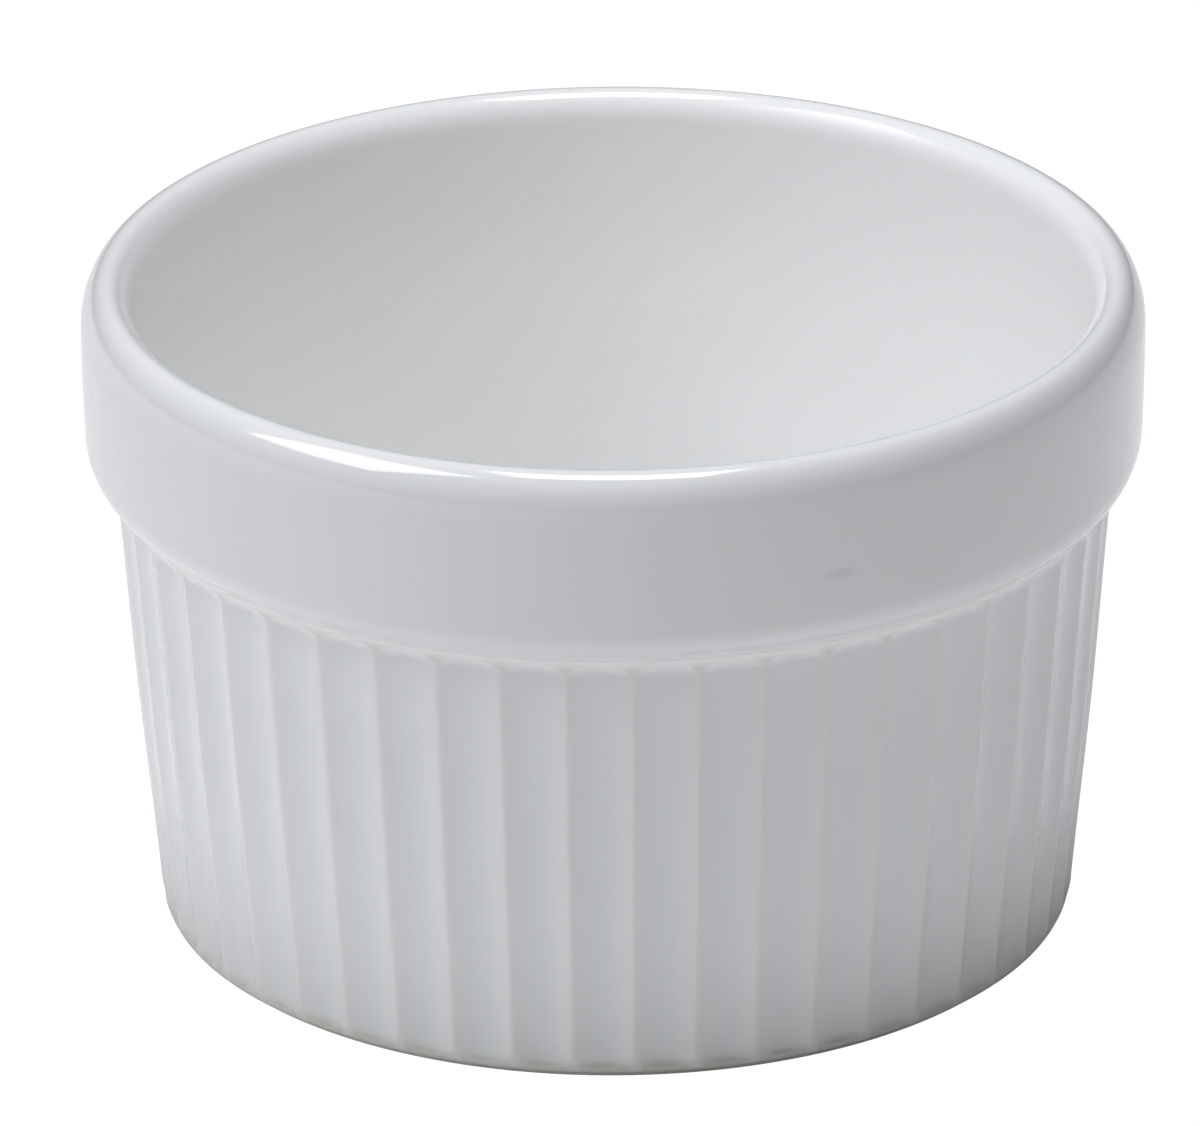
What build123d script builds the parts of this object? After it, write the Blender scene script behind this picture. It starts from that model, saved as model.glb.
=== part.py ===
from build123d import *
import math
import os

os.makedirs("parts", exist_ok=True)

# A fluted porcelain ramekin, in millimetres
# The origin is on the axis, in the plane that the foot ring stands on, and +Z points up out of the dish.

# Overall size of the glazed dish
rim_diameter = 90.0
overall_height = 57.0
base_diameter = 77.6

# Glaze, which is wiped off below a line just above the table
glaze_thickness = 0.25
glaze_line = 0.5

# Collar, the plain thick band round the rim
collar_height = 17.2
collar_step = 2.55
collar_lean = 0.25
collar_edge_rise = 3.7
collar_crown_share = 0.8
gutter_radius = 1.0

# Lip, rounded over from the collar to the inside
lip_outer_radius = 1.85
lip_inner_radius = 1.05

# Flutes, shallow hollows that meet in narrow upright ridges
flute_count = 48
flute_depth = 0.5
ridge_width = 0.5
flute_foot_gap = 1.3
flute_head_gap = 0.2
flute_run_out = 1.1

# Inside of the dish
wall_thickness = 3.3
floor_height = 4.8
floor_corner_radius = 7.0
inner_bend_radius = 90.0

# Foot ring and the recess inside it
foot_ring_width = 4.0
foot_ring_slope = 1.0
foot_outer_radius = 0.75
foot_inner_radius = 0.25
recess_depth = 1.0
recess_corner_radius = 0.8

# Places that follow from the sizes
base_radius = base_diameter / 2
collar_low_radius = rim_diameter / 2 - collar_lean
underside_height = overall_height - collar_height
wall_top_radius = collar_low_radius - collar_step
lip_width = lip_outer_radius + lip_inner_radius + 2 * glaze_thickness
section_plane = Plane.XZ


def dish_section(skin):
    """Half section of the dish without its flutes, its surface set in from the glaze by the skin.

    Edges are sized on the clay and hollow corners on the glaze, so the glaze rounds both of them more softly.
    """
    cover = glaze_thickness - skin
    collar_top_drop = collar_lean * ((1 - collar_crown_share) / collar_crown_share) ** 2
    collar_low = (collar_low_radius - skin, underside_height + collar_edge_rise)
    collar_crown_height = collar_low[1] + (overall_height - collar_low[1]) * collar_crown_share
    collar_crown = (rim_diameter / 2 - skin, collar_crown_height)
    collar_top = (rim_diameter / 2 - collar_top_drop - skin, overall_height - skin)
    wall_head = (wall_top_radius - skin, underside_height + skin)
    wall_foot = (base_radius - skin, 0)
    foot_inside = (base_radius - foot_ring_width + skin, 0)
    recess_corner = (foot_inside[0] - foot_ring_slope, recess_depth + skin)
    recess_centre = (0, recess_corner[1])
    floor_corner = (base_radius - wall_thickness + skin, floor_height - skin)
    floor_centre = (0, floor_corner[1])
    inner_bend = (wall_top_radius - wall_thickness + skin, underside_height)
    lip_inside = (rim_diameter / 2 - lip_width + skin, overall_height - skin)
    roundings = [
        (collar_top, lip_outer_radius + cover),
        (lip_inside, lip_inner_radius + cover),
        (inner_bend, inner_bend_radius),
        (floor_corner, floor_corner_radius + skin),
        (recess_corner, recess_corner_radius + skin),
        (foot_inside, foot_inner_radius + cover),
        (wall_foot, foot_outer_radius + cover),
        (wall_head, gutter_radius + skin),
    ]
    with BuildSketch(section_plane) as section:
        with BuildLine():
            face = ThreePointArc(collar_low, collar_crown, collar_top)
            TangentArc(collar_low, wall_head, tangent=(face % 0) * -1)
            Polyline(wall_head, wall_foot, foot_inside, recess_corner, recess_centre, floor_centre)
            Polyline(floor_centre, floor_corner, inner_bend, lip_inside, collar_top)
        make_face()
        for corner, radius in roundings:
            fillet(section.vertices().sort_by_distance(corner)[0], radius)
    return section.sketch


def flute_cutter(skin):
    """Round cutter that lies along the wall on the +X side and hollows one flute, grown by the skin.

    It is trimmed to its own share of the turn, so that it stays clear of the next one.
    """

    def wall_point(height):
        """Point on the outer wall at a height, where the ridges are."""
        return Vector(base_radius + (wall_top_radius - base_radius) * height / underside_height, height)

    def hollow_radius(radius):
        """Radius that gives a flute its depth and leaves the ridge its width on a wall of this radius."""
        half_turn = math.pi / flute_count - ridge_width / 2 / radius
        half_width = radius * math.sin(half_turn)
        rise = flute_depth - radius * (1 - math.cos(half_turn))
        return (half_width**2 + rise**2) / (2 * rise)

    low = wall_point(flute_foot_gap)
    high = wall_point(underside_height - flute_head_gap)
    along = (high - low).normalized()
    outward = Vector(along.Y, -along.X)
    low_axis = low + outward * (hollow_radius(low.X) - flute_depth) - along * skin
    high_axis = high + outward * (hollow_radius(high.X) - flute_depth) + along * skin
    low_floor = low - outward * (flute_depth + skin) - along * skin
    high_floor = high - outward * (flute_depth + skin) + along * skin
    spin_start = section_plane.from_local_coords(low_axis)
    spin_end = section_plane.from_local_coords(high_axis)
    trim_turn = math.pi / flute_count - ridge_width / 4 / base_radius
    trim_reach = rim_diameter
    trim_width = trim_reach * math.tan(trim_turn)
    with BuildPart() as cutter:
        with BuildSketch(section_plane) as outline:
            with BuildLine():
                Polyline(low_axis, low_floor, high_floor, high_axis, close=True)
            make_face()
            for corner in (low_floor, high_floor):
                fillet(outline.vertices().sort_by_distance(corner)[0], flute_run_out + skin)
        revolve(axis=Axis(spin_start, spin_end - spin_start))
        with BuildSketch(Plane.XY):
            with BuildLine():
                Polyline((0, 0), (trim_reach, -trim_width), (trim_reach, trim_width), close=True)
            make_face()
        extrude(amount=overall_height, mode=Mode.INTERSECT)
    return cutter.part


def fluted_dish(skin):
    """Whole dish, its surface set in from the glaze by the skin."""
    cutter = flute_cutter(skin)
    with BuildPart() as dish:
        add(dish_section(skin))
        revolve(axis=Axis.Z)
        with PolarLocations(0, flute_count):
            add(cutter, mode=Mode.SUBTRACT)
    return dish.part


# Fired clay body, bare only where it stands
with BuildPart() as porcelain_body:
    add(fluted_dish(glaze_thickness))
porcelain_body.part.label = "porcelain_body"
export_step(porcelain_body.part, "parts/porcelain_body.step")

# All the glaze, which the bare foot ring parts into two coats
with BuildPart() as glaze:
    add(fluted_dish(0))
    split(bisect_by=Plane.XY.offset(glaze_line), keep=Keep.TOP)
    add(porcelain_body.part, mode=Mode.SUBTRACT)
lower_coat, upper_coat = glaze.solids().sort_by(Axis.Z)

# Glaze on the outside, over the lip and on the inside
with BuildPart() as glaze_coat:
    add(upper_coat)
glaze_coat.part.label = "glaze_coat"
export_step(glaze_coat.part, "parts/glaze_coat.step")

# Glaze under the floor, inside the foot ring
with BuildPart() as base_glaze:
    add(lower_coat)
base_glaze.part.label = "base_glaze"
export_step(base_glaze.part, "parts/base_glaze.step")
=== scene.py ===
import math

import bpy
from mathutils import Matrix, Vector


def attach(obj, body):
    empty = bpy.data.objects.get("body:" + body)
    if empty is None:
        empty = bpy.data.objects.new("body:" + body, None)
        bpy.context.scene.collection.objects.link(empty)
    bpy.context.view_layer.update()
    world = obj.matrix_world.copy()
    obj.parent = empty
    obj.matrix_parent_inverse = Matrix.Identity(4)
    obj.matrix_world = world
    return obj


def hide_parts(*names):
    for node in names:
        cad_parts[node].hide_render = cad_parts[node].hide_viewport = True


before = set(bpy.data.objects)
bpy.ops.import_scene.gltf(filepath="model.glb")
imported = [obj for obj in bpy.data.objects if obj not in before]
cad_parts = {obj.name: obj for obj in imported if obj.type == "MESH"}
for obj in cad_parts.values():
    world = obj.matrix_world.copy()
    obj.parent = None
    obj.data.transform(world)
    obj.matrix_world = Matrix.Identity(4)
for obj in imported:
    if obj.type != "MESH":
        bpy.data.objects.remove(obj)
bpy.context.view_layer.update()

# A fluted porcelain ramekin, in metres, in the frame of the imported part
mm = 0.001

# Overall size of the glazed dish
rim_radius = 45.0 * mm
overall_height = 57.0 * mm
base_radius = 38.98 * mm

# Collar round the rim
collar_height = 17.2 * mm
collar_step = 2.4 * mm
collar_lean = 0.17 * mm
collar_edge_rise = 3.7 * mm
gutter_radius = 1.0 * mm

# Lip, an upright oval on each side
lip_width = 4.3 * mm
lip_outer_width = 2.3 * mm
lip_drop = 4.0 * mm
lip_inner_drop = 3.0 * mm

# Flutes
flute_count = 48
flute_depth = 0.5 * mm
ridge_width = 0.4 * mm
ridge_softness = 0.15 * mm
flute_foot_gap = 0.75 * mm
flute_head_gap = 0.35 * mm
foot_run_out = 1.5 * mm
head_run_out = 1.1 * mm
wall_bow = 0.15 * mm
bow_start = 2.0 * mm
bow_end = 37.5 * mm

# Inside of the dish
wall_thickness = 3.48 * mm
floor_height = 4.8 * mm
floor_corner_radius = 7.0 * mm
inner_bend_height = 37.6 * mm
inner_bend_radius = 30.0 * mm

# Foot and underside
foot_round_width = 1.45 * mm
foot_round_height = 2.5 * mm
foot_ring_outside = 38.3 * mm
foot_ring_inside = 34.8 * mm
foot_ring_edge = 0.7 * mm
foot_ring_slope = 1.0 * mm
foot_ring_softness = 0.25 * mm
recess_depth = 1.0 * mm
recess_corner_radius = 0.8 * mm
glaze_line = 0.7 * mm
underside_glaze_line = 0.5 * mm
coat_thickness = 0.2 * mm

# Places that follow from the sizes
collar_low_radius = rim_radius - collar_lean
underside_height = overall_height - collar_height
wall_top_radius = collar_low_radius - collar_step
half_share = math.pi / flute_count
hollow_turn = math.radians(2.8)
turn_slack = math.radians(0.02)

# Camera, fitted to the photograph
image_width = 1200
image_height = 1126
lens_pixels = 12880
sensor_width = 36.0
camera_distance = 1.1
camera_turn = math.radians(1.85)
camera_pitch = math.radians(23.53)
camera_roll = math.radians(-0.42)
sight_height = 26.0 * mm
sight_column = 615
sight_row = 608.5

# Working sizes of the modelling
seed_size = 1.0 * mm
merge_gap = 0.004 * mm
mirror_gap = 0.001 * mm


def clear_selection():
    """Nothing selected and nothing in edit mode."""
    if bpy.context.object and bpy.context.object.mode != "OBJECT":
        bpy.ops.object.mode_set(mode="OBJECT")
    bpy.ops.object.select_all(action="DESELECT")


class Outline:
    """Half section of a turned piece, drawn in the plane through the axis by extruding one vertex."""

    def __init__(self, name, start):
        clear_selection()
        bpy.ops.mesh.primitive_plane_add(size=seed_size, location=(0, 0, 0))
        self.piece = bpy.context.object
        self.piece.name = name
        self.piece.data.name = name
        bpy.ops.object.mode_set(mode="EDIT")
        bpy.ops.mesh.select_mode(type="VERT")
        bpy.ops.mesh.select_all(action="SELECT")
        bpy.ops.mesh.merge(type="CENTER")
        bpy.ops.transform.translate(value=(start[0], 0, start[1]))
        self.pen = Vector(start)

    def line(self, end, steps=1):
        """Straight run to a place, in even steps."""
        step = (Vector(end) - self.pen) / steps
        for _ in range(steps):
            bpy.ops.mesh.extrude_region_move(TRANSFORM_OT_translate={"value": (step.x, 0, step.y)})
        self.pen = Vector(end)

    def arc(self, centre, end, steps):
        """Round run to a place about a centre, the short way."""
        before = self.pen - Vector(centre)
        after = Vector(end) - Vector(centre)
        turn = math.atan2(before.x * after.y - before.y * after.x, before.dot(after))
        middle = (centre[0], 0, centre[1])
        bpy.ops.mesh.spin(steps=steps, angle=abs(turn), center=middle, axis=(0, math.copysign(1, turn), 0))
        self.pen = Vector(end)

    def oval(self, centre, width, height, start_angle, end_angle, steps):
        """Run along an oval with its centre, half width and half height, in even turns."""
        for number in range(1, steps + 1):
            angle = start_angle + (end_angle - start_angle) * number / steps
            self.line((centre.x + width * math.cos(angle), centre.y + height * math.sin(angle)))

    def wall(self, end_height, skin, steps):
        """Run down the bowed wall to a height, in even steps."""
        start_height = self.pen.y
        for number in range(1, steps + 1):
            height = start_height + (end_height - start_height) * number / steps
            self.line((wall_radius(height) - skin, height))


def rounding(before, corner, after, radius):
    """Centre, first and last touching place of the arc that rounds a corner."""
    back = (Vector(before) - Vector(corner)).normalized()
    on = (Vector(after) - Vector(corner)).normalized()
    half = back.angle(on) / 2
    reach = radius / math.tan(half)
    centre = Vector(corner) + (back + on).normalized() * radius / math.sin(half)
    return centre, Vector(corner) + back * reach, Vector(corner) + on * reach


def toward(start, end, distance):
    """Place at a distance from one place toward another."""
    return Vector(start) + (Vector(end) - Vector(start)).normalized() * distance


def wall_radius(height):
    """Radius of the wall at a height, where its ridges are. It swells a little at its middle."""
    straight = base_radius + (wall_top_radius - base_radius) * height / underside_height
    share = (height - bow_start) / (bow_end - bow_start)
    if share <= 0 or share >= 1:
        return straight
    return straight + wall_bow * math.sin(math.pi * share) ** 2


def hollow_radius(radius):
    """Radius that gives a flute its depth and leaves the ridge its width on a wall of this radius."""
    half_turn = half_share - ridge_width / 2 / radius
    half_width = radius * math.sin(half_turn)
    rise = flute_depth - radius * (1 - math.cos(half_turn))
    return (half_width**2 + rise**2) / (2 * rise)


def end_fill(distance, run_out):
    """How much shallower a flute is near its end, where it runs out."""
    if distance >= run_out:
        return 0.0
    if distance <= 0:
        return rim_radius
    return run_out - math.sqrt(run_out**2 - (run_out - distance) ** 2)


def flute_cut(turn, height):
    """Depth of a flute below the wall at a turn from its middle line, with its edge rounded over."""
    wall = wall_radius(height)
    radius = hollow_radius(wall)
    centre = wall + radius - flute_depth
    across = centre * math.sin(turn)
    if abs(across) >= radius:
        return 0.0
    floor = centre * math.cos(turn) - math.sqrt(radius**2 - across**2)
    foot = end_fill(height - flute_foot_gap, foot_run_out)
    head = end_fill(underside_height - flute_head_gap - height, head_run_out)
    depth = wall - floor - foot - head
    if depth <= -ridge_softness:
        return 0.0
    if depth >= ridge_softness:
        return depth
    return (depth + ridge_softness) ** 2 / (4 * ridge_softness)


def finish_turned():
    """Joins what meets, turns the faces outward and shades the piece smoothly."""
    bpy.ops.object.mode_set(mode="EDIT")
    bpy.ops.mesh.select_mode(type="VERT")
    bpy.ops.mesh.select_all(action="SELECT")
    bpy.ops.mesh.remove_doubles(threshold=merge_gap)
    bpy.ops.mesh.select_all(action="SELECT")
    bpy.ops.mesh.normals_make_consistent(inside=False)
    bpy.ops.mesh.select_all(action="DESELECT")
    bpy.ops.object.mode_set(mode="OBJECT")
    bpy.ops.object.shade_smooth()


def spin_half_flute(ridge_columns):
    """Turns the outline through half a flute: wide columns in the hollow, narrow ones at the ridge."""
    bpy.ops.object.mode_set(mode="EDIT")
    bpy.ops.mesh.select_all(action="SELECT")
    bpy.ops.mesh.remove_doubles(threshold=merge_gap)
    bpy.ops.mesh.select_all(action="SELECT")
    bpy.ops.mesh.spin(steps=hollow_columns, angle=hollow_turn, center=(0, 0, 0), axis=(0, 0, -1))
    ridge_turn = half_share - hollow_turn
    bpy.ops.mesh.spin(steps=ridge_columns, angle=ridge_turn, center=(0, 0, 0), axis=(0, 0, -1))
    bpy.ops.mesh.select_all(action="SELECT")
    bpy.ops.mesh.remove_doubles(threshold=merge_gap)
    bpy.ops.mesh.select_all(action="DESELECT")
    bpy.ops.object.mode_set(mode="OBJECT")


def thin_out(piece):
    """Dissolves most columns' edges again where the piece has no flutes."""
    bpy.ops.object.mode_set(mode="EDIT")
    bpy.ops.mesh.select_mode(type="EDGE")
    bpy.ops.object.mode_set(mode="OBJECT")
    kept_turns = (0.0, hollow_turn / 2, hollow_turn, half_share)
    vertices = piece.data.vertices
    for edge in piece.data.edges:
        ends = [vertices[number].co for number in edge.vertices]
        radii = [math.hypot(end.x, end.y) for end in ends]
        if min(radii) < seed_size:
            continue
        turns = [math.atan2(end.y, end.x) for end in ends]
        if abs(turns[0] - turns[1]) > turn_slack:
            continue
        if min(abs(turns[0] - kept) for kept in kept_turns) < turn_slack:
            continue
        edge.select = any(not is_fluted(end, radius) for end, radius in zip(ends, radii))
    bpy.ops.object.mode_set(mode="EDIT")
    bpy.ops.mesh.dissolve_edges(use_verts=True)
    bpy.ops.mesh.select_mode(type="VERT")
    bpy.ops.object.mode_set(mode="OBJECT")


def is_fluted(place, radius):
    """Whether a place is on the outer wall, under the collar."""
    return place.z < underside_height and radius > wall_radius(place.z) - wall_thickness / 2


def carve_flutes(piece):
    """Sinks the flute's half hollow into the wall along X."""
    hollow = piece.vertex_groups.new(name="flute")
    deepest = 2 * flute_depth
    for vertex in piece.data.vertices:
        if not is_fluted(vertex.co, math.hypot(vertex.co.x, vertex.co.y)):
            continue
        cut = flute_cut(math.atan2(vertex.co.y, vertex.co.x), vertex.co.z)
        if cut > 0:
            hollow.add([vertex.index], cut / deepest, "REPLACE")
    bpy.ops.object.modifier_add(type="DISPLACE")
    carve = piece.modifiers[-1]
    carve.direction = "X"
    carve.vertex_group = hollow.name
    carve.mid_level = 0
    carve.strength = -deepest
    bpy.ops.object.modifier_apply(modifier=carve.name)
    piece.vertex_groups.clear()


def complete_turn(piece):
    """Mirrors the half flute and copies the whole one all round."""
    bpy.ops.object.modifier_add(type="MIRROR")
    mirror = piece.modifiers[-1]
    mirror.use_axis = (False, True, False)
    mirror.merge_threshold = mirror_gap
    bpy.ops.object.modifier_apply(modifier=mirror.name)
    copies = flute_count - 1
    turn = 2 * math.pi * copies / flute_count
    bpy.ops.object.mode_set(mode="EDIT")
    bpy.ops.mesh.select_all(action="SELECT")
    bpy.ops.mesh.spin(steps=copies, dupli=True, angle=turn, center=(0, 0, 0), axis=(0, 0, -1))
    bpy.ops.object.mode_set(mode="OBJECT")
    finish_turned()


# Glaze over the outside, the lip and the inside
floor_centre = Vector((0, floor_height))
floor_corner = Vector((base_radius - wall_thickness, floor_height))
inner_bend = Vector((wall_radius(inner_bend_height) - wall_bow - wall_thickness, inner_bend_height))
collar_crown_height = overall_height - lip_drop
lip_inner_width = lip_width - lip_outer_width
lip_centre = Vector((rim_radius - lip_outer_width, collar_crown_height))
lip_inner_centre = Vector((rim_radius - lip_outer_width, overall_height - lip_inner_drop))
collar_low = Vector((collar_low_radius, underside_height + collar_edge_rise))
crown_rise = collar_crown_height - collar_low.y
face_radius = (crown_rise**2 + collar_lean**2) / (2 * collar_lean)
face_centre = Vector((rim_radius - face_radius, collar_crown_height))
wall_head = Vector((wall_top_radius, underside_height))
foot_inside = Vector((foot_ring_inside, 0))

face_tilt = (collar_low - face_centre).normalized()
edge_chord = wall_head - collar_low
edge_radius = edge_chord.length_squared / (-2 * edge_chord.dot(face_tilt))
edge_centre = collar_low - face_tilt * edge_radius

# Where a straight line from the inner bend touches the lip's inner oval, seen as a circle squeezed upright
squeeze = lip_inner_width / lip_inner_drop
bend_offset = Vector((inner_bend.x - lip_inner_centre.x, (inner_bend.y - lip_inner_centre.y) * squeeze))
bend_turn = math.atan2(bend_offset.y, bend_offset.x) + 2 * math.pi
lip_turn = bend_turn - math.acos(lip_inner_width / bend_offset.length)
lip_touch = lip_inner_centre + Vector(
    (lip_inner_width * math.cos(lip_turn), lip_inner_drop * math.sin(lip_turn))
)


def coat_outline(outline, skin, steps):
    """Runs from the floor's middle over the lip to the foot, set in from the glaze by the skin."""
    floor_in = Vector((0, -skin))
    corner = rounding(floor_centre, floor_corner, inner_bend, floor_corner_radius)
    bend = rounding(floor_corner, inner_bend, lip_touch, inner_bend_radius)
    up = Vector((wall_top_radius - base_radius, underside_height)).normalized()
    out = Vector((up.y, -up.x))
    lean_in = (inner_bend - floor_corner).normalized()
    inner_out = Vector((lean_in.y, -lean_in.x))
    lean_up = (lip_touch - inner_bend).normalized()
    upper_out = Vector((lean_up.y, -lean_up.x))

    outline.line(corner[1] + floor_in, steps["floor"])
    outline.arc(corner[0], corner[2] + inner_out * skin, steps["floor_corner"])
    outline.line(bend[1] + inner_out * skin, steps["inner_wall"])
    outline.arc(bend[0], bend[2] + upper_out * skin, steps["bend"])
    inner_width = lip_inner_width - skin
    inner_drop = lip_inner_drop - skin
    lip_start = Vector((inner_width * math.cos(lip_turn), inner_drop * math.sin(lip_turn)))
    outline.line(lip_inner_centre + lip_start, steps["upper_wall"])
    outline.oval(lip_inner_centre, inner_width, inner_drop, lip_turn, math.pi / 2, steps["lip_inside"])
    outline.oval(lip_centre, lip_outer_width - skin, lip_drop - skin, math.pi / 2, 0, steps["lip_outside"])
    outline.arc(face_centre, face_centre + face_tilt * (face_radius - skin), steps["collar"])

    seat = wall_head + out * gutter_radius
    reach = edge_radius + gutter_radius
    offset = seat - edge_centre
    slide = offset.dot(up) + math.sqrt(offset.dot(up) ** 2 - offset.length_squared + reach**2)
    gutter_centre = seat - up * slide
    edge_end = toward(edge_centre, gutter_centre, edge_radius - skin)
    gutter_end = gutter_centre - out * (gutter_radius + skin)
    outline.arc(edge_centre, edge_end, steps["collar_edge"])
    outline.arc(gutter_centre, gutter_end, steps["gutter"])

    foot_centre = Vector((wall_radius(foot_round_height) - foot_round_width, foot_round_height))
    drop = math.asin((foot_round_height - glaze_line) / foot_round_height)
    outline.wall(bow_end, skin, steps["wall_head"])
    outline.wall(foot_round_height, skin, steps["wall"])
    outline.oval(foot_centre, foot_round_width - skin, foot_round_height - skin, 0, -drop, steps["foot"])


fine_steps = {
    "floor": 3,
    "floor_corner": 8,
    "inner_wall": 4,
    "bend": 3,
    "upper_wall": 3,
    "lip_inside": 12,
    "lip_outside": 14,
    "collar": 6,
    "collar_edge": 10,
    "gutter": 8,
    "wall_head": 9,
    "wall": 14,
    "foot": 14,
}
hidden_steps = {
    "floor": 1,
    "floor_corner": 4,
    "inner_wall": 1,
    "bend": 1,
    "upper_wall": 1,
    "lip_inside": 4,
    "lip_outside": 4,
    "collar": 2,
    "collar_edge": 4,
    "gutter": 2,
    "wall_head": 3,
    "wall": 3,
    "foot": 5,
}

underside_steps = {
    "recess": 6,
    "corner": 5,
    "slope": 2,
    "bead": 4,
    "back_slope": 1,
    "back_corner": 3,
    "back": 3,
}
ring_steps = {
    "side": 2,
    "edge": 6,
    "face": 4,
    "inner_edge": 3,
    "slope": 2,
    "corner": 3,
    "recess": 3,
}
bead_steps = 3
hollow_columns = 4
glaze_ridge_columns = 6
clay_ridge_columns = 3
underside_columns = 192

glaze_outline = Outline("white_glaze_coat", floor_centre)
coat_outline(glaze_outline, 0.0, fine_steps)
visible_end = glaze_outline.pen.copy()
glaze_piece = glaze_outline.piece
bpy.ops.object.mode_set(mode="OBJECT")
hidden_outline = Outline("glaze_back", floor_centre - Vector((0, coat_thickness)))
coat_outline(hidden_outline, coat_thickness, hidden_steps)
hidden_end = hidden_outline.pen.copy()
bead_centre = (visible_end + hidden_end) / 2
bead_place = (bead_centre.x, 0, bead_centre.y)
bpy.ops.mesh.spin(steps=bead_steps, angle=math.pi, center=bead_place, axis=(0, -1, 0))
bpy.ops.object.mode_set(mode="OBJECT")
clear_selection()
hidden_outline.piece.select_set(True)
glaze_piece.select_set(True)
bpy.context.view_layer.objects.active = glaze_piece
bpy.ops.object.join()

spin_half_flute(glaze_ridge_columns)
thin_out(glaze_piece)
carve_flutes(glaze_piece)
complete_turn(glaze_piece)

# Glaze under the floor, inside the foot ring
recess_corner = Vector((foot_inside.x - foot_ring_slope, recess_depth))
recess_centre = Vector((0, recess_depth))
recess_round = rounding(recess_centre, recess_corner, foot_inside, recess_corner_radius)
slope_reach = (foot_inside - recess_corner).length * (1 - underside_glaze_line / recess_depth)
slope_end = toward(recess_corner, foot_inside, slope_reach)
slope_in = (foot_inside - recess_corner).normalized()
slope_up = Vector((-slope_in.y, slope_in.x))
coat_rise = Vector((0, coat_thickness))

underside_outline = Outline("underside_glaze_coat", recess_centre)
underside_outline.line(recess_round[1], underside_steps["recess"])
underside_outline.arc(recess_round[0], recess_round[2], underside_steps["corner"])
underside_outline.line(slope_end, underside_steps["slope"])
edge_back = slope_end + slope_up * coat_thickness
bead_centre = (slope_end + edge_back) / 2
bead_place = (bead_centre.x, 0, bead_centre.y)
bpy.ops.mesh.spin(steps=underside_steps["bead"], angle=math.pi, center=bead_place, axis=(0, 1, 0))
underside_outline.pen = edge_back
underside_outline.line(recess_round[2] + slope_up * coat_thickness, underside_steps["back_slope"])
underside_outline.arc(recess_round[0], recess_round[1] + coat_rise, underside_steps["back_corner"])
underside_outline.line(recess_centre + coat_rise, underside_steps["back"])
bpy.ops.mesh.select_all(action="SELECT")
bpy.ops.mesh.spin(steps=underside_columns, angle=2 * math.pi, center=(0, 0, 0), axis=(0, 0, -1))
bpy.ops.object.mode_set(mode="OBJECT")
underside_piece = underside_outline.piece
finish_turned()

# Clay body under the glaze, bare on the ring that it stands on
clay_outline = Outline("bare_porcelain_body", floor_centre - coat_rise)
coat_outline(clay_outline, coat_thickness, hidden_steps)
ring_edge_centre = Vector((foot_ring_outside - foot_ring_edge, foot_ring_edge))
ring_inside = rounding((ring_edge_centre.x, 0), foot_inside, recess_corner, foot_ring_softness)
clay_outline.line(ring_edge_centre + Vector((foot_ring_edge, 0)), ring_steps["side"])
clay_outline.arc(ring_edge_centre, ring_edge_centre - Vector((0, foot_ring_edge)), ring_steps["edge"])
clay_outline.line(ring_inside[1], ring_steps["face"])
clay_outline.arc(ring_inside[0], ring_inside[2], ring_steps["inner_edge"])
clay_outline.line(recess_round[2] + slope_up * coat_thickness, ring_steps["slope"])
clay_outline.arc(recess_round[0], recess_round[1] + coat_rise, ring_steps["corner"])
clay_outline.line(recess_centre + coat_rise, ring_steps["recess"])
clay_piece = clay_outline.piece
spin_half_flute(clay_ridge_columns)
carve_flutes(clay_piece)
complete_turn(clay_piece)


# Materials
def shader_node(tree, kind, place, **settings):
    """Node of a kind at a place on the sheet, with its settings."""
    node = tree.nodes.new(kind)
    node.location = place
    for name, value in settings.items():
        setattr(node, name, value)
    return node


def feed(tree, socket, given):
    """Gives a socket another node's output, a colour or a number."""
    if isinstance(given, bpy.types.NodeSocket):
        tree.links.new(given, socket)
    elif socket.type == "RGBA":
        socket.default_value = (*given, 1)
    else:
        socket.default_value = given


def maths(tree, place, operation, *inputs):
    """Result of a sum on values."""
    node = shader_node(tree, "ShaderNodeMath", place, operation=operation)
    for number, given in enumerate(inputs):
        feed(tree, node.inputs[number], given)
    return node.outputs["Value"]


def vector_maths(tree, place, operation, *inputs, output="Vector"):
    """Result of a sum on places."""
    node = shader_node(tree, "ShaderNodeVectorMath", place, operation=operation)
    for number, given in enumerate(inputs):
        feed(tree, node.inputs[number], given)
    return node.outputs[output]


def smooth_step(tree, place, value, low, high, to_low=0.0, to_high=1.0):
    """Smooth step of a value between two others."""
    node = shader_node(tree, "ShaderNodeMapRange", place, interpolation_type="SMOOTHSTEP")
    names = ("Value", "From Min", "From Max", "To Min", "To Max")
    for name, given in zip(names, (value, low, high, to_low, to_high)):
        feed(tree, node.inputs[name], given)
    return node.outputs["Result"]


def colour_mix(tree, place, share, first, second):
    """Colour between two others by a share."""
    node = shader_node(tree, "ShaderNodeMix", place, data_type="RGBA")
    for name, given in (("Factor", share), ("A", first), ("B", second)):
        feed(tree, node.inputs[name], given)
    return node.outputs["Result"]


def product(tree, place, first, second):
    """Product of two values."""
    return maths(tree, place, "MULTIPLY", first, second)


# Fineness of the fired surface's noises, and how much of a speck is fully dark
cloud_detail = 3.0
ripple_detail = 2.0
grain_detail = 1.0
speck_core_share = 0.6


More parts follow.
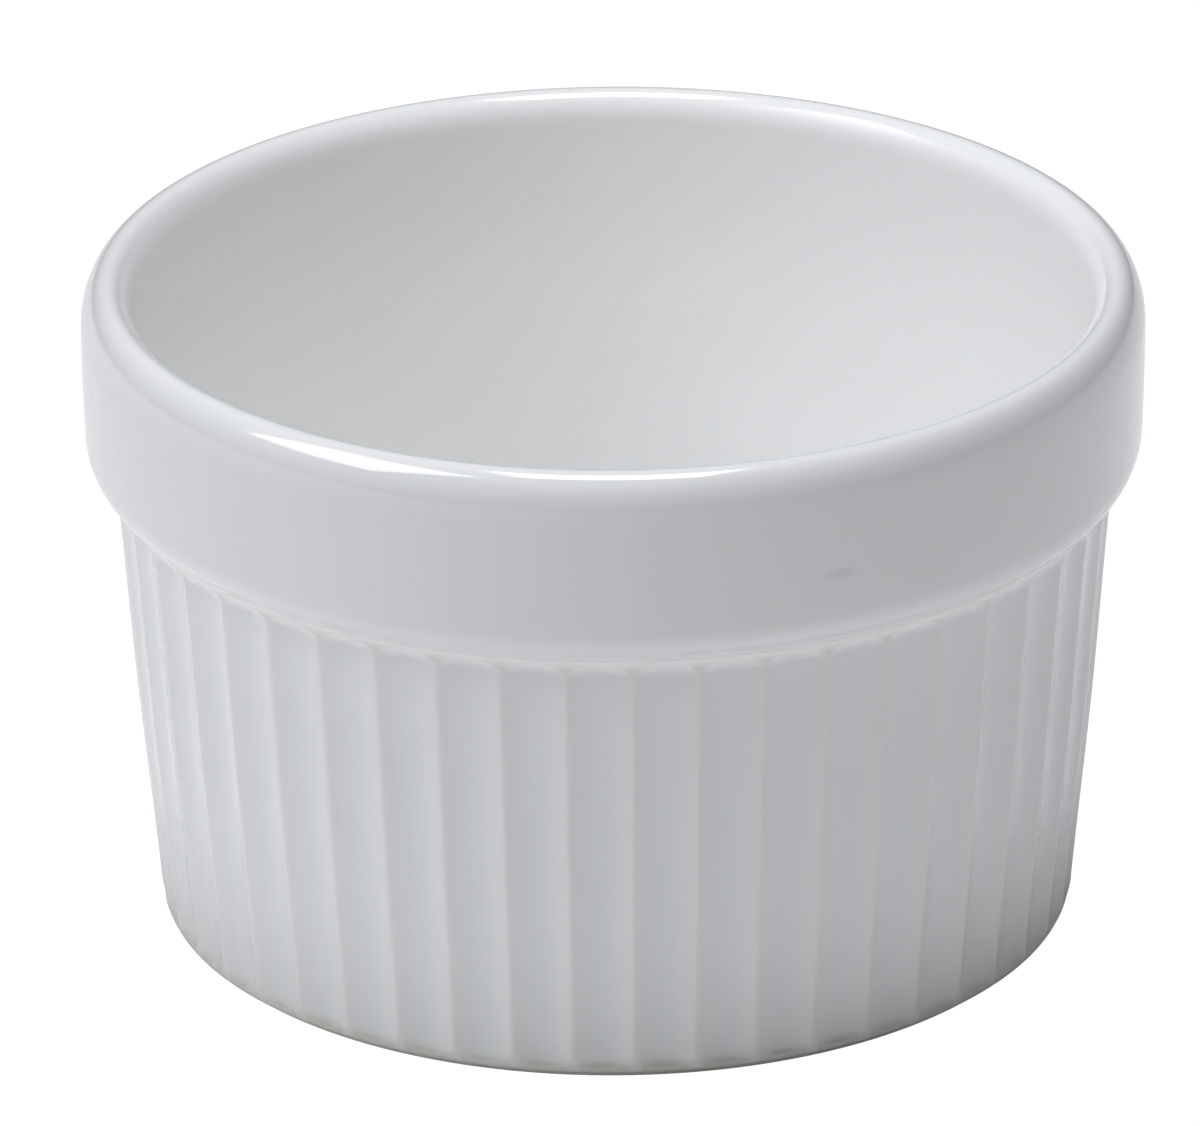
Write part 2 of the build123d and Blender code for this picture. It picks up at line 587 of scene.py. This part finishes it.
def fired_surface_group():
    """What any fired surface shows: soft clouds, a few specks and a fine ripple."""
    group = bpy.data.node_groups.new("fired surface", "ShaderNodeTree")
    sockets = {
        "Cloud Scale": 40.0,
        "Speck Scale": 150.0,
        "Speck Size": 0.02,
        "Speck Share": 0.02,
        "Ripple Scale": 300.0,
        "Ripple Height": 0.00001,
        "Grain Scale": 3000.0,
        "Grain Height": 0.000002,
    }
    group.interface.new_socket("Place", in_out="INPUT", socket_type="NodeSocketVector")
    for name, value in sockets.items():
        socket = group.interface.new_socket(name, in_out="INPUT", socket_type="NodeSocketFloat")
        socket.default_value = value
    for name in ("Clouds", "Specks", "Grain"):
        group.interface.new_socket(name, in_out="OUTPUT", socket_type="NodeSocketFloat")
    group.interface.new_socket("Normal", in_out="OUTPUT", socket_type="NodeSocketVector")

    given = shader_node(group, "NodeGroupInput", (-1200, 0))
    result = shader_node(group, "NodeGroupOutput", (600, 0))
    clouds = shader_node(group, "ShaderNodeTexNoise", (-800, 300))
    clouds.inputs["Detail"].default_value = cloud_detail
    group.links.new(given.outputs["Place"], clouds.inputs["Vector"])
    group.links.new(given.outputs["Cloud Scale"], clouds.inputs["Scale"])

    cells = shader_node(group, "ShaderNodeTexVoronoi", (-800, 0))
    group.links.new(given.outputs["Place"], cells.inputs["Vector"])
    group.links.new(given.outputs["Speck Scale"], cells.inputs["Scale"])
    lot = shader_node(group, "ShaderNodeSeparateColor", (-600, -100))
    group.links.new(cells.outputs["Color"], lot.inputs["Color"])
    chosen = maths(group, (-400, -100), "LESS_THAN", lot.outputs["Red"], given.outputs["Speck Share"])
    dot_size = product(group, (-600, 100), given.outputs["Speck Size"], lot.outputs["Green"])
    dot_core = product(group, (-600, 200), dot_size, speck_core_share)
    dot = smooth_step(group, (-400, 100), cells.outputs["Distance"], dot_core, dot_size, 1.0, 0.0)
    specks = product(group, (-200, 0), dot, chosen)

    ripple = shader_node(group, "ShaderNodeTexNoise", (-800, -400))
    ripple.inputs["Detail"].default_value = ripple_detail
    group.links.new(given.outputs["Place"], ripple.inputs["Vector"])
    group.links.new(given.outputs["Ripple Scale"], ripple.inputs["Scale"])
    ripple_bump = shader_node(group, "ShaderNodeBump", (-200, -400))
    group.links.new(given.outputs["Ripple Height"], ripple_bump.inputs["Distance"])
    group.links.new(ripple.outputs["Fac"], ripple_bump.inputs["Height"])
    grain = shader_node(group, "ShaderNodeTexNoise", (-800, -700))
    grain.inputs["Detail"].default_value = grain_detail
    group.links.new(given.outputs["Place"], grain.inputs["Vector"])
    group.links.new(given.outputs["Grain Scale"], grain.inputs["Scale"])
    grain_bump = shader_node(group, "ShaderNodeBump", (0, -500))
    group.links.new(given.outputs["Grain Height"], grain_bump.inputs["Distance"])
    group.links.new(grain.outputs["Fac"], grain_bump.inputs["Height"])
    group.links.new(ripple_bump.outputs["Normal"], grain_bump.inputs["Normal"])

    group.links.new(clouds.outputs["Fac"], result.inputs["Clouds"])
    group.links.new(specks, result.inputs["Specks"])
    group.links.new(grain.outputs["Fac"], result.inputs["Grain"])
    group.links.new(grain_bump.outputs["Normal"], result.inputs["Normal"])
    return group


def fired_surface(tree, place, position, **values):
    """The fired surface group in a material, with its own values."""
    node = shader_node(tree, "ShaderNodeGroup", place)
    node.node_tree = bpy.data.node_groups["fired surface"]
    tree.links.new(position, node.inputs["Place"])
    for name, value in values.items():
        node.inputs[name.replace("_", " ").title()].default_value = value
    return node.outputs


def new_material(name):
    """Empty node material with its tree and its shader."""
    material = bpy.data.materials.new(name)
    material.use_nodes = True
    tree = material.node_tree
    return material, tree, tree.nodes["Principled BSDF"]


# Where the glaze's marks lie: heights above the table, and distances outward from the wall's middle
wall_blur = 0.2 * mm
flute_marks_end = (underside_height - 0.5 * mm, underside_height + 0.6 * mm)
inner_lip_fade = (-0.5 * mm, 2.2 * mm)
inner_wall_fade = (-0.9 * mm, -0.2 * mm)
upper_inside = (8.0 * mm, 40.0 * mm)
gutter_highlight_low_fade = (underside_height - 0.85 * mm, underside_height - 0.55 * mm)
gutter_highlight_high_fade = (underside_height - 0.1 * mm, underside_height + 0.3 * mm)
foot_band_fade = (1.2 * mm, 2.3 * mm)
foot_shade_line_fade = (0.75 * mm, 1.15 * mm)

# A flute's wave is 1 at the middle of its hollow and -1 on the ridge
pool_and_shade_wave = (-0.6, 0.9)
crest_wave = (-1.0, -0.85)
foot_hollow_wave = (-1.0, -0.5)
foot_hollow_share = (0.35, 1.0)

# Part of the clouds' range that the foot's patches and the gloss follow
foot_patch_clouds = (0.3, 0.6)
foot_patch_share = (0.6, 1.0)
gloss_clouds = (0.3, 0.7)

# Smudge on the collar, by its place on the dish
smudge_turn = math.radians(26.2)
smudge_height = 47.0 * mm
smudge_stretch = (0.45, 0.45, 1.6)
smudge_fade = (0.1 * mm, 1.1 * mm)

# Strength of each mark
pool_and_shade_strength = 0.4
crest_strength = 0.3
foot_shade_line_strength = 0.5
speck_strength = 0.55
smudge_strength = 0.22

# Colours of the glaze
body_shade = (0.862, 0.866, 0.864)
body_light = (0.878, 0.880, 0.876)
# Cool and darker in the flute hollows: glaze pooling with painted shade
pool_and_shade_colour = (0.835, 0.852, 0.852)
crest_colour = (0.87, 0.865, 0.845)
# Painted light on the inside, whiter towards the lip
inside_light_colour = (0.965, 0.965, 0.96)
# Painted highlight: a bright line in the gutter under the collar
gutter_highlight_colour = (0.985, 0.985, 0.965)
foot_band_colour = (0.66, 0.67, 0.59)
# Painted contact shade along the glaze's lower edge
foot_shade_line_colour = (0.50, 0.51, 0.46)
speck_colour = (0.36, 0.34, 0.32)
smudge_colour = (0.50, 0.51, 0.52)

# Gloss of the glaze
glaze_roughness = (0.10, 0.16)
inner_wall_roughness = 0.25
inner_wall_coat = 0.1


def white_glaze_material():
    """Gloss glaze over white porcelain, with the marks that its run and its firing left, and painted light
    and shade in its flutes, inside, gutter and at its foot.
    """
    material, tree, shader = new_material("white glaze")
    shader.inputs["IOR"].default_value = 1.5
    shader.inputs["Coat Roughness"].default_value = 0.04
    shader.inputs["Coat IOR"].default_value = 1.5
    position = shader_node(tree, "ShaderNodeTexCoord", (-2600, 0)).outputs["Object"]
    surface = fired_surface(
        tree,
        (-1600, -600),
        position,
        cloud_scale=55.0,
        speck_scale=110.0,
        speck_size=0.035,
        speck_share=0.03,
        ripple_scale=180.0,
        ripple_height=0.00004,
        grain_scale=2500.0,
        grain_height=0.0000015,
    )
    axes = shader_node(tree, "ShaderNodeSeparateXYZ", (-2400, 0))
    tree.links.new(position, axes.inputs["Vector"])
    height = axes.outputs["Z"]

    # Inside or outside, told by the distance from the middle of the wall
    flat = vector_maths(tree, (-2400, 300), "MULTIPLY", position, (1, 1, 0))
    radius = vector_maths(tree, (-2200, 300), "LENGTH", flat, output="Value")
    flare = (wall_top_radius - base_radius) / underside_height
    middle = maths(tree, (-2200, 100), "MULTIPLY_ADD", height, flare, base_radius - wall_thickness / 2)
    past = maths(tree, (-2000, 200), "SUBTRACT", radius, middle)
    outside = smooth_step(tree, (-1800, 200), past, -wall_blur, wall_blur)
    inner_wall = smooth_step(tree, (-1800, 500), past, *inner_wall_fade, 1.0, 0.0)
    inner_lip = smooth_step(tree, (-1800, 700), past, *inner_lip_fade, 1.0, 0.0)
    under_collar = smooth_step(tree, (-1800, 0), height, *flute_marks_end, 1.0, 0.0)
    wall = product(tree, (-1600, 100), outside, under_collar)

    turn = maths(tree, (-2200, -200), "ARCTAN2", axes.outputs["Y"], axes.outputs["X"])
    turns = product(tree, (-2000, -200), turn, float(flute_count))
    wave = maths(tree, (-1800, -200), "COSINE", turns)

    body = colour_mix(tree, (-1200, 200), surface["Clouds"], body_shade, body_light)

    # Cool and darker in the flute hollows, partly the glaze pooled there and partly painted shade; warm
    # where it is thin on the ridges
    pool_and_shade = smooth_step(tree, (-1600, -100), wave, *pool_and_shade_wave)
    wall_pool_and_shade = product(tree, (-1400, 0), pool_and_shade, wall)
    pool_and_shade_share = product(tree, (-1200, 0), wall_pool_and_shade, pool_and_shade_strength)
    body = colour_mix(tree, (-1000, 200), pool_and_shade_share, body, pool_and_shade_colour)
    crest = smooth_step(tree, (-1600, -300), wave, *crest_wave, 1.0, 0.0)
    wall_crest = product(tree, (-1400, -200), crest, wall)
    crest_share = product(tree, (-1200, -200), wall_crest, crest_strength)
    body = colour_mix(tree, (-800, 200), crest_share, body, crest_colour)

    # Painted light, whiter over the inside towards the lip; and a painted highlight along the gutter under
    # the collar
    upper = smooth_step(tree, (-1400, 700), height, *upper_inside)
    inside_light_share = product(tree, (-1200, 500), inner_lip, upper)
    body = colour_mix(tree, (-600, 200), inside_light_share, body, inside_light_colour)
    # Painted highlight along the gutter under the collar, all round the outside
    gutter_highlight_low = smooth_step(tree, (-1400, 900), height, *gutter_highlight_low_fade)
    gutter_highlight_high = smooth_step(tree, (-1200, 900), height, *gutter_highlight_high_fade, 1.0, 0.0)
    gutter = product(tree, (-1000, 900), gutter_highlight_low, gutter_highlight_high)
    gutter_highlight_share = product(tree, (-800, 900), gutter, outside)
    body = colour_mix(tree, (-500, 200), gutter_highlight_share, body, gutter_highlight_colour)

    # Grey-green in uneven patches in the flute hollows near the foot, and a painted shade line along the
    # glaze's lower edge
    foot_band = smooth_step(tree, (-1400, -500), height, *foot_band_fade, 1.0, 0.0)
    foot_wall = product(tree, (-1200, -500), foot_band, outside)
    foot_hollow = smooth_step(tree, (-1400, -700), wave, *foot_hollow_wave, *foot_hollow_share)
    patch = smooth_step(tree, (-1200, -700), surface["Clouds"], *foot_patch_clouds, *foot_patch_share)
    foot_run = product(tree, (-1000, -500), foot_wall, foot_hollow)
    foot_share = product(tree, (-800, -500), foot_run, patch)
    body = colour_mix(tree, (-400, 200), foot_share, body, foot_band_colour)
    # Painted contact shade: a darker line along the glaze's lower edge, next to the table
    foot_shade_line = smooth_step(tree, (-1000, -900), height, *foot_shade_line_fade, 1.0, 0.0)
    shade_line_wall = product(tree, (-800, -900), foot_shade_line, outside)
    shade_line_share = product(tree, (-600, -900), shade_line_wall, foot_shade_line_strength)
    body = colour_mix(tree, (-200, 200), shade_line_share, body, foot_shade_line_colour)

    # A rare faint speck, and one smudge on the collar
    speck_share = product(tree, (-200, -100), surface["Specks"], speck_strength)
    body = colour_mix(tree, (0, 200), speck_share, body, speck_colour)
    smudge_place = (rim_radius * math.sin(smudge_turn), -rim_radius * math.cos(smudge_turn), smudge_height)
    smudge_offset = vector_maths(tree, (-1000, 700), "SUBTRACT", position, smudge_place)
    smudge_squeezed = vector_maths(tree, (-800, 700), "MULTIPLY", smudge_offset, smudge_stretch)
    smudge_reach = vector_maths(tree, (-600, 700), "LENGTH", smudge_squeezed, output="Value")
    smudge = smooth_step(tree, (-400, 700), smudge_reach, *smudge_fade, smudge_strength, 0.0)
    body = colour_mix(tree, (200, 200), smudge, body, smudge_colour)
    tree.links.new(body, shader.inputs["Base Color"])

    # The inside wall is less glossy than the lip and the outside
    coat_weight = smooth_step(tree, (200, -400), inner_wall, 0.0, 1.0, 1.0, inner_wall_coat)
    tree.links.new(coat_weight, shader.inputs["Coat Weight"])
    gloss = smooth_step(tree, (0, -200), surface["Clouds"], *gloss_clouds, *glaze_roughness)
    roughness = maths(tree, (200, -200), "MULTIPLY_ADD", inner_wall, inner_wall_roughness, gloss)
    tree.links.new(roughness, shader.inputs["Roughness"])
    tree.links.new(surface["Normal"], shader.inputs["Normal"])
    shader.location = (500, 200)
    tree.nodes["Material Output"].location = (800, 200)
    return material


# Colours and roughness of the bare clay
clay_shade = (0.70, 0.67, 0.61)
clay_light = (0.80, 0.78, 0.73)
clay_grain_colour = (0.60, 0.57, 0.52)
clay_grain_strength = 0.3
clay_speck_colour = (0.30, 0.27, 0.24)
clay_speck_strength = 0.6
clay_rough_grain = (0.3, 0.7)
clay_roughness = (0.6, 0.85)


def bare_porcelain_material():
    """Matt unglazed porcelain of the foot ring, a little grubby from the shelf it was fired on."""
    material, tree, shader = new_material("bare porcelain")
    position = shader_node(tree, "ShaderNodeTexCoord", (-1200, 0)).outputs["Object"]
    surface = fired_surface(
        tree,
        (-900, 0),
        position,
        cloud_scale=160.0,
        speck_scale=400.0,
        speck_size=0.09,
        speck_share=0.05,
        ripple_scale=700.0,
        ripple_height=0.00003,
        grain_scale=6000.0,
        grain_height=0.00002,
    )
    body = colour_mix(tree, (-500, 200), surface["Clouds"], clay_shade, clay_light)
    grain_share = product(tree, (-500, 0), surface["Grain"], clay_grain_strength)
    body = colour_mix(tree, (-300, 200), grain_share, body, clay_grain_colour)
    speck_share = product(tree, (-300, 0), surface["Specks"], clay_speck_strength)
    body = colour_mix(tree, (-100, 200), speck_share, body, clay_speck_colour)
    rough = smooth_step(tree, (-300, -200), surface["Grain"], *clay_rough_grain, *clay_roughness)
    tree.links.new(body, shader.inputs["Base Color"])
    tree.links.new(rough, shader.inputs["Roughness"])
    tree.links.new(surface["Normal"], shader.inputs["Normal"])
    return material


fired_surface_group()
glaze_material = white_glaze_material()
clay_material = bare_porcelain_material()
finishes = (
    (glaze_piece, glaze_material, "white_glaze", "glaze_coat"),
    (underside_piece, glaze_material, "white_glaze", "base_glaze"),
    (clay_piece, clay_material, "bare_porcelain", "porcelain_body"),
)
for piece, material, slot, node in finishes:
    piece.data.materials.clear()
    piece.data.materials.append(material)
    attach(piece, "root")
    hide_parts(node)

# Floor, which the camera sees as plain white and the glaze reflects with a faint painted glow round the
# dish, a little dimmer to the right as the dish's painted cast shadow
floor_size = 6.0
floor_colour = (0.85, 0.85, 0.85, 1)
floor_roughness = 0.6
floor_white_strength = 1.05
glow_left = 0.05
glow_right = 0.04
glow_reach = 0.24
glow_fade = 0.12
glow_edge_start = (0.013, 0.0)
glow_edge_turn = math.radians(17.6)
glow_edge_blur = 0.003
glow_blur_start = 0.07
glow_blur_growth = 0.45


def floor_glow_strength(tree):
    """Strength of the glow: two even parts that meet in a line, which blurs and fades with distance; the
    dimmer right part paints the dish's cast shadow.
    """
    place = shader_node(tree, "ShaderNodeTexCoord", (-2200, 200)).outputs["Object"]
    reach = vector_maths(tree, (-2000, 400), "LENGTH", place, output="Value")
    leftward = (-math.cos(glow_edge_turn), math.sin(glow_edge_turn), 0)
    side = vector_maths(tree, (-2000, 200), "DOT_PRODUCT", place, leftward, output="Value")
    edge_offset = leftward[0] * glow_edge_start[0] + leftward[1] * glow_edge_start[1]
    left = maths(tree, (-1800, 200), "SUBTRACT", side, edge_offset)
    beyond = maths(tree, (-1800, 400), "SUBTRACT", reach, glow_blur_start)
    past = maths(tree, (-1600, 400), "MAXIMUM", beyond, 0.0)
    blur = maths(tree, (-1400, 400), "MULTIPLY_ADD", past, glow_blur_growth, glow_edge_blur)
    back_blur = product(tree, (-1200, 400), blur, -1.0)
    glow = smooth_step(tree, (-1000, 200), left, back_blur, blur, glow_right, glow_left)
    near = smooth_step(tree, (-1000, 500), reach, glow_reach - glow_fade, glow_reach + glow_fade, 1.0, 0.0)
    return product(tree, (-800, 300), glow, near)


def white_sweep_material():
    """Pale matt floor with its glow, which the camera sees as plain white."""
    material, tree, shader = new_material("white sweep")
    shader.inputs["Base Color"].default_value = floor_colour
    shader.inputs["Roughness"].default_value = floor_roughness
    glow = shader_node(tree, "ShaderNodeEmission", (-600, 200))
    tree.links.new(floor_glow_strength(tree), glow.inputs["Strength"])
    lit = shader_node(tree, "ShaderNodeAddShader", (100, 200))
    tree.links.new(shader.outputs["BSDF"], lit.inputs[0])
    tree.links.new(glow.outputs["Emission"], lit.inputs[1])
    white = shader_node(tree, "ShaderNodeEmission", (100, 0))
    white.inputs["Strength"].default_value = floor_white_strength
    ray = shader_node(tree, "ShaderNodeLightPath", (100, 600))
    seen = shader_node(tree, "ShaderNodeMixShader", (400, 200))
    tree.links.new(ray.outputs["Is Camera Ray"], seen.inputs["Fac"])
    tree.links.new(lit.outputs["Shader"], seen.inputs[1])
    tree.links.new(white.outputs["Emission"], seen.inputs[2])
    tree.links.new(seen.outputs["Shader"], tree.nodes["Material Output"].inputs["Surface"])
    return material


clear_selection()
bpy.ops.mesh.primitive_plane_add(size=floor_size, location=(0, 0, 0))
floor = bpy.context.object
floor.name = "studio_floor"
floor.data.materials.append(white_sweep_material())


# Light
def soft_box(name, place, width, depth, power):
    """Rectangular soft light at a place, turned to shine at the dish."""
    light = bpy.data.lights.new(name, "AREA")
    light.shape = "RECTANGLE"
    light.size = width
    light.size_y = depth
    light.energy = power
    light.color = light_colour
    lamp = bpy.data.objects.new(name, light)
    bpy.context.scene.collection.objects.link(lamp)
    lamp.location = place
    lamp.rotation_euler = (light_aim - Vector(place)).to_track_quat("-Z", "Y").to_euler()


light_aim = Vector((0, 0, 0.03))
light_colour = (0.985, 1.0, 1.032)
top_power = 9.6
left_power = 7.45
front_power = 0.5
back_power = 0.2
world_colour = (0.96, 1.0, 1.05, 1)
world_strength = 0.11
soft_box("top box", place=(0, 0, 1.3), width=0.5, depth=0.5, power=top_power)
soft_box("left box", place=(-0.9, -0.3, 1.1), width=0.8, depth=0.8, power=left_power)
soft_box("front box", place=(0, -1.0, 1.3), width=0.8, depth=0.8, power=front_power)
soft_box("back box", place=(0, 1.4, 0.6), width=1.4, depth=1.0, power=back_power)
world = bpy.data.worlds.new("pale studio")
world.use_nodes = True
sky = world.node_tree.nodes["Background"]
sky.inputs["Color"].default_value = world_colour
sky.inputs["Strength"].default_value = world_strength
bpy.context.scene.world = world
bpy.context.scene.view_settings.view_transform = "Standard"

# Camera
target = Vector((0, 0, sight_height))
back = Vector(
    (
        math.sin(camera_turn) * math.cos(camera_pitch),
        -math.cos(camera_turn) * math.cos(camera_pitch),
        math.sin(camera_pitch),
    )
)
look = (-back).to_track_quat("-Z", "Y") @ Matrix.Rotation(camera_roll, 3, "Z").to_quaternion()
pixel = camera_distance / lens_pixels
aim_shift = Vector(((image_width / 2 - sight_column) * pixel, (sight_row - image_height / 2) * pixel, 0))
camera_data = bpy.data.cameras.new("camera")
camera_data.sensor_width = sensor_width
camera_data.lens = lens_pixels / image_width * sensor_width
camera_data.clip_start = 0.05
camera_data.clip_end = 20
camera = bpy.data.objects.new("camera", camera_data)
bpy.context.scene.collection.objects.link(camera)
camera.rotation_mode = "QUATERNION"
camera.rotation_quaternion = look
camera.location = target + back * camera_distance + look @ aim_shift
bpy.context.scene.camera = camera
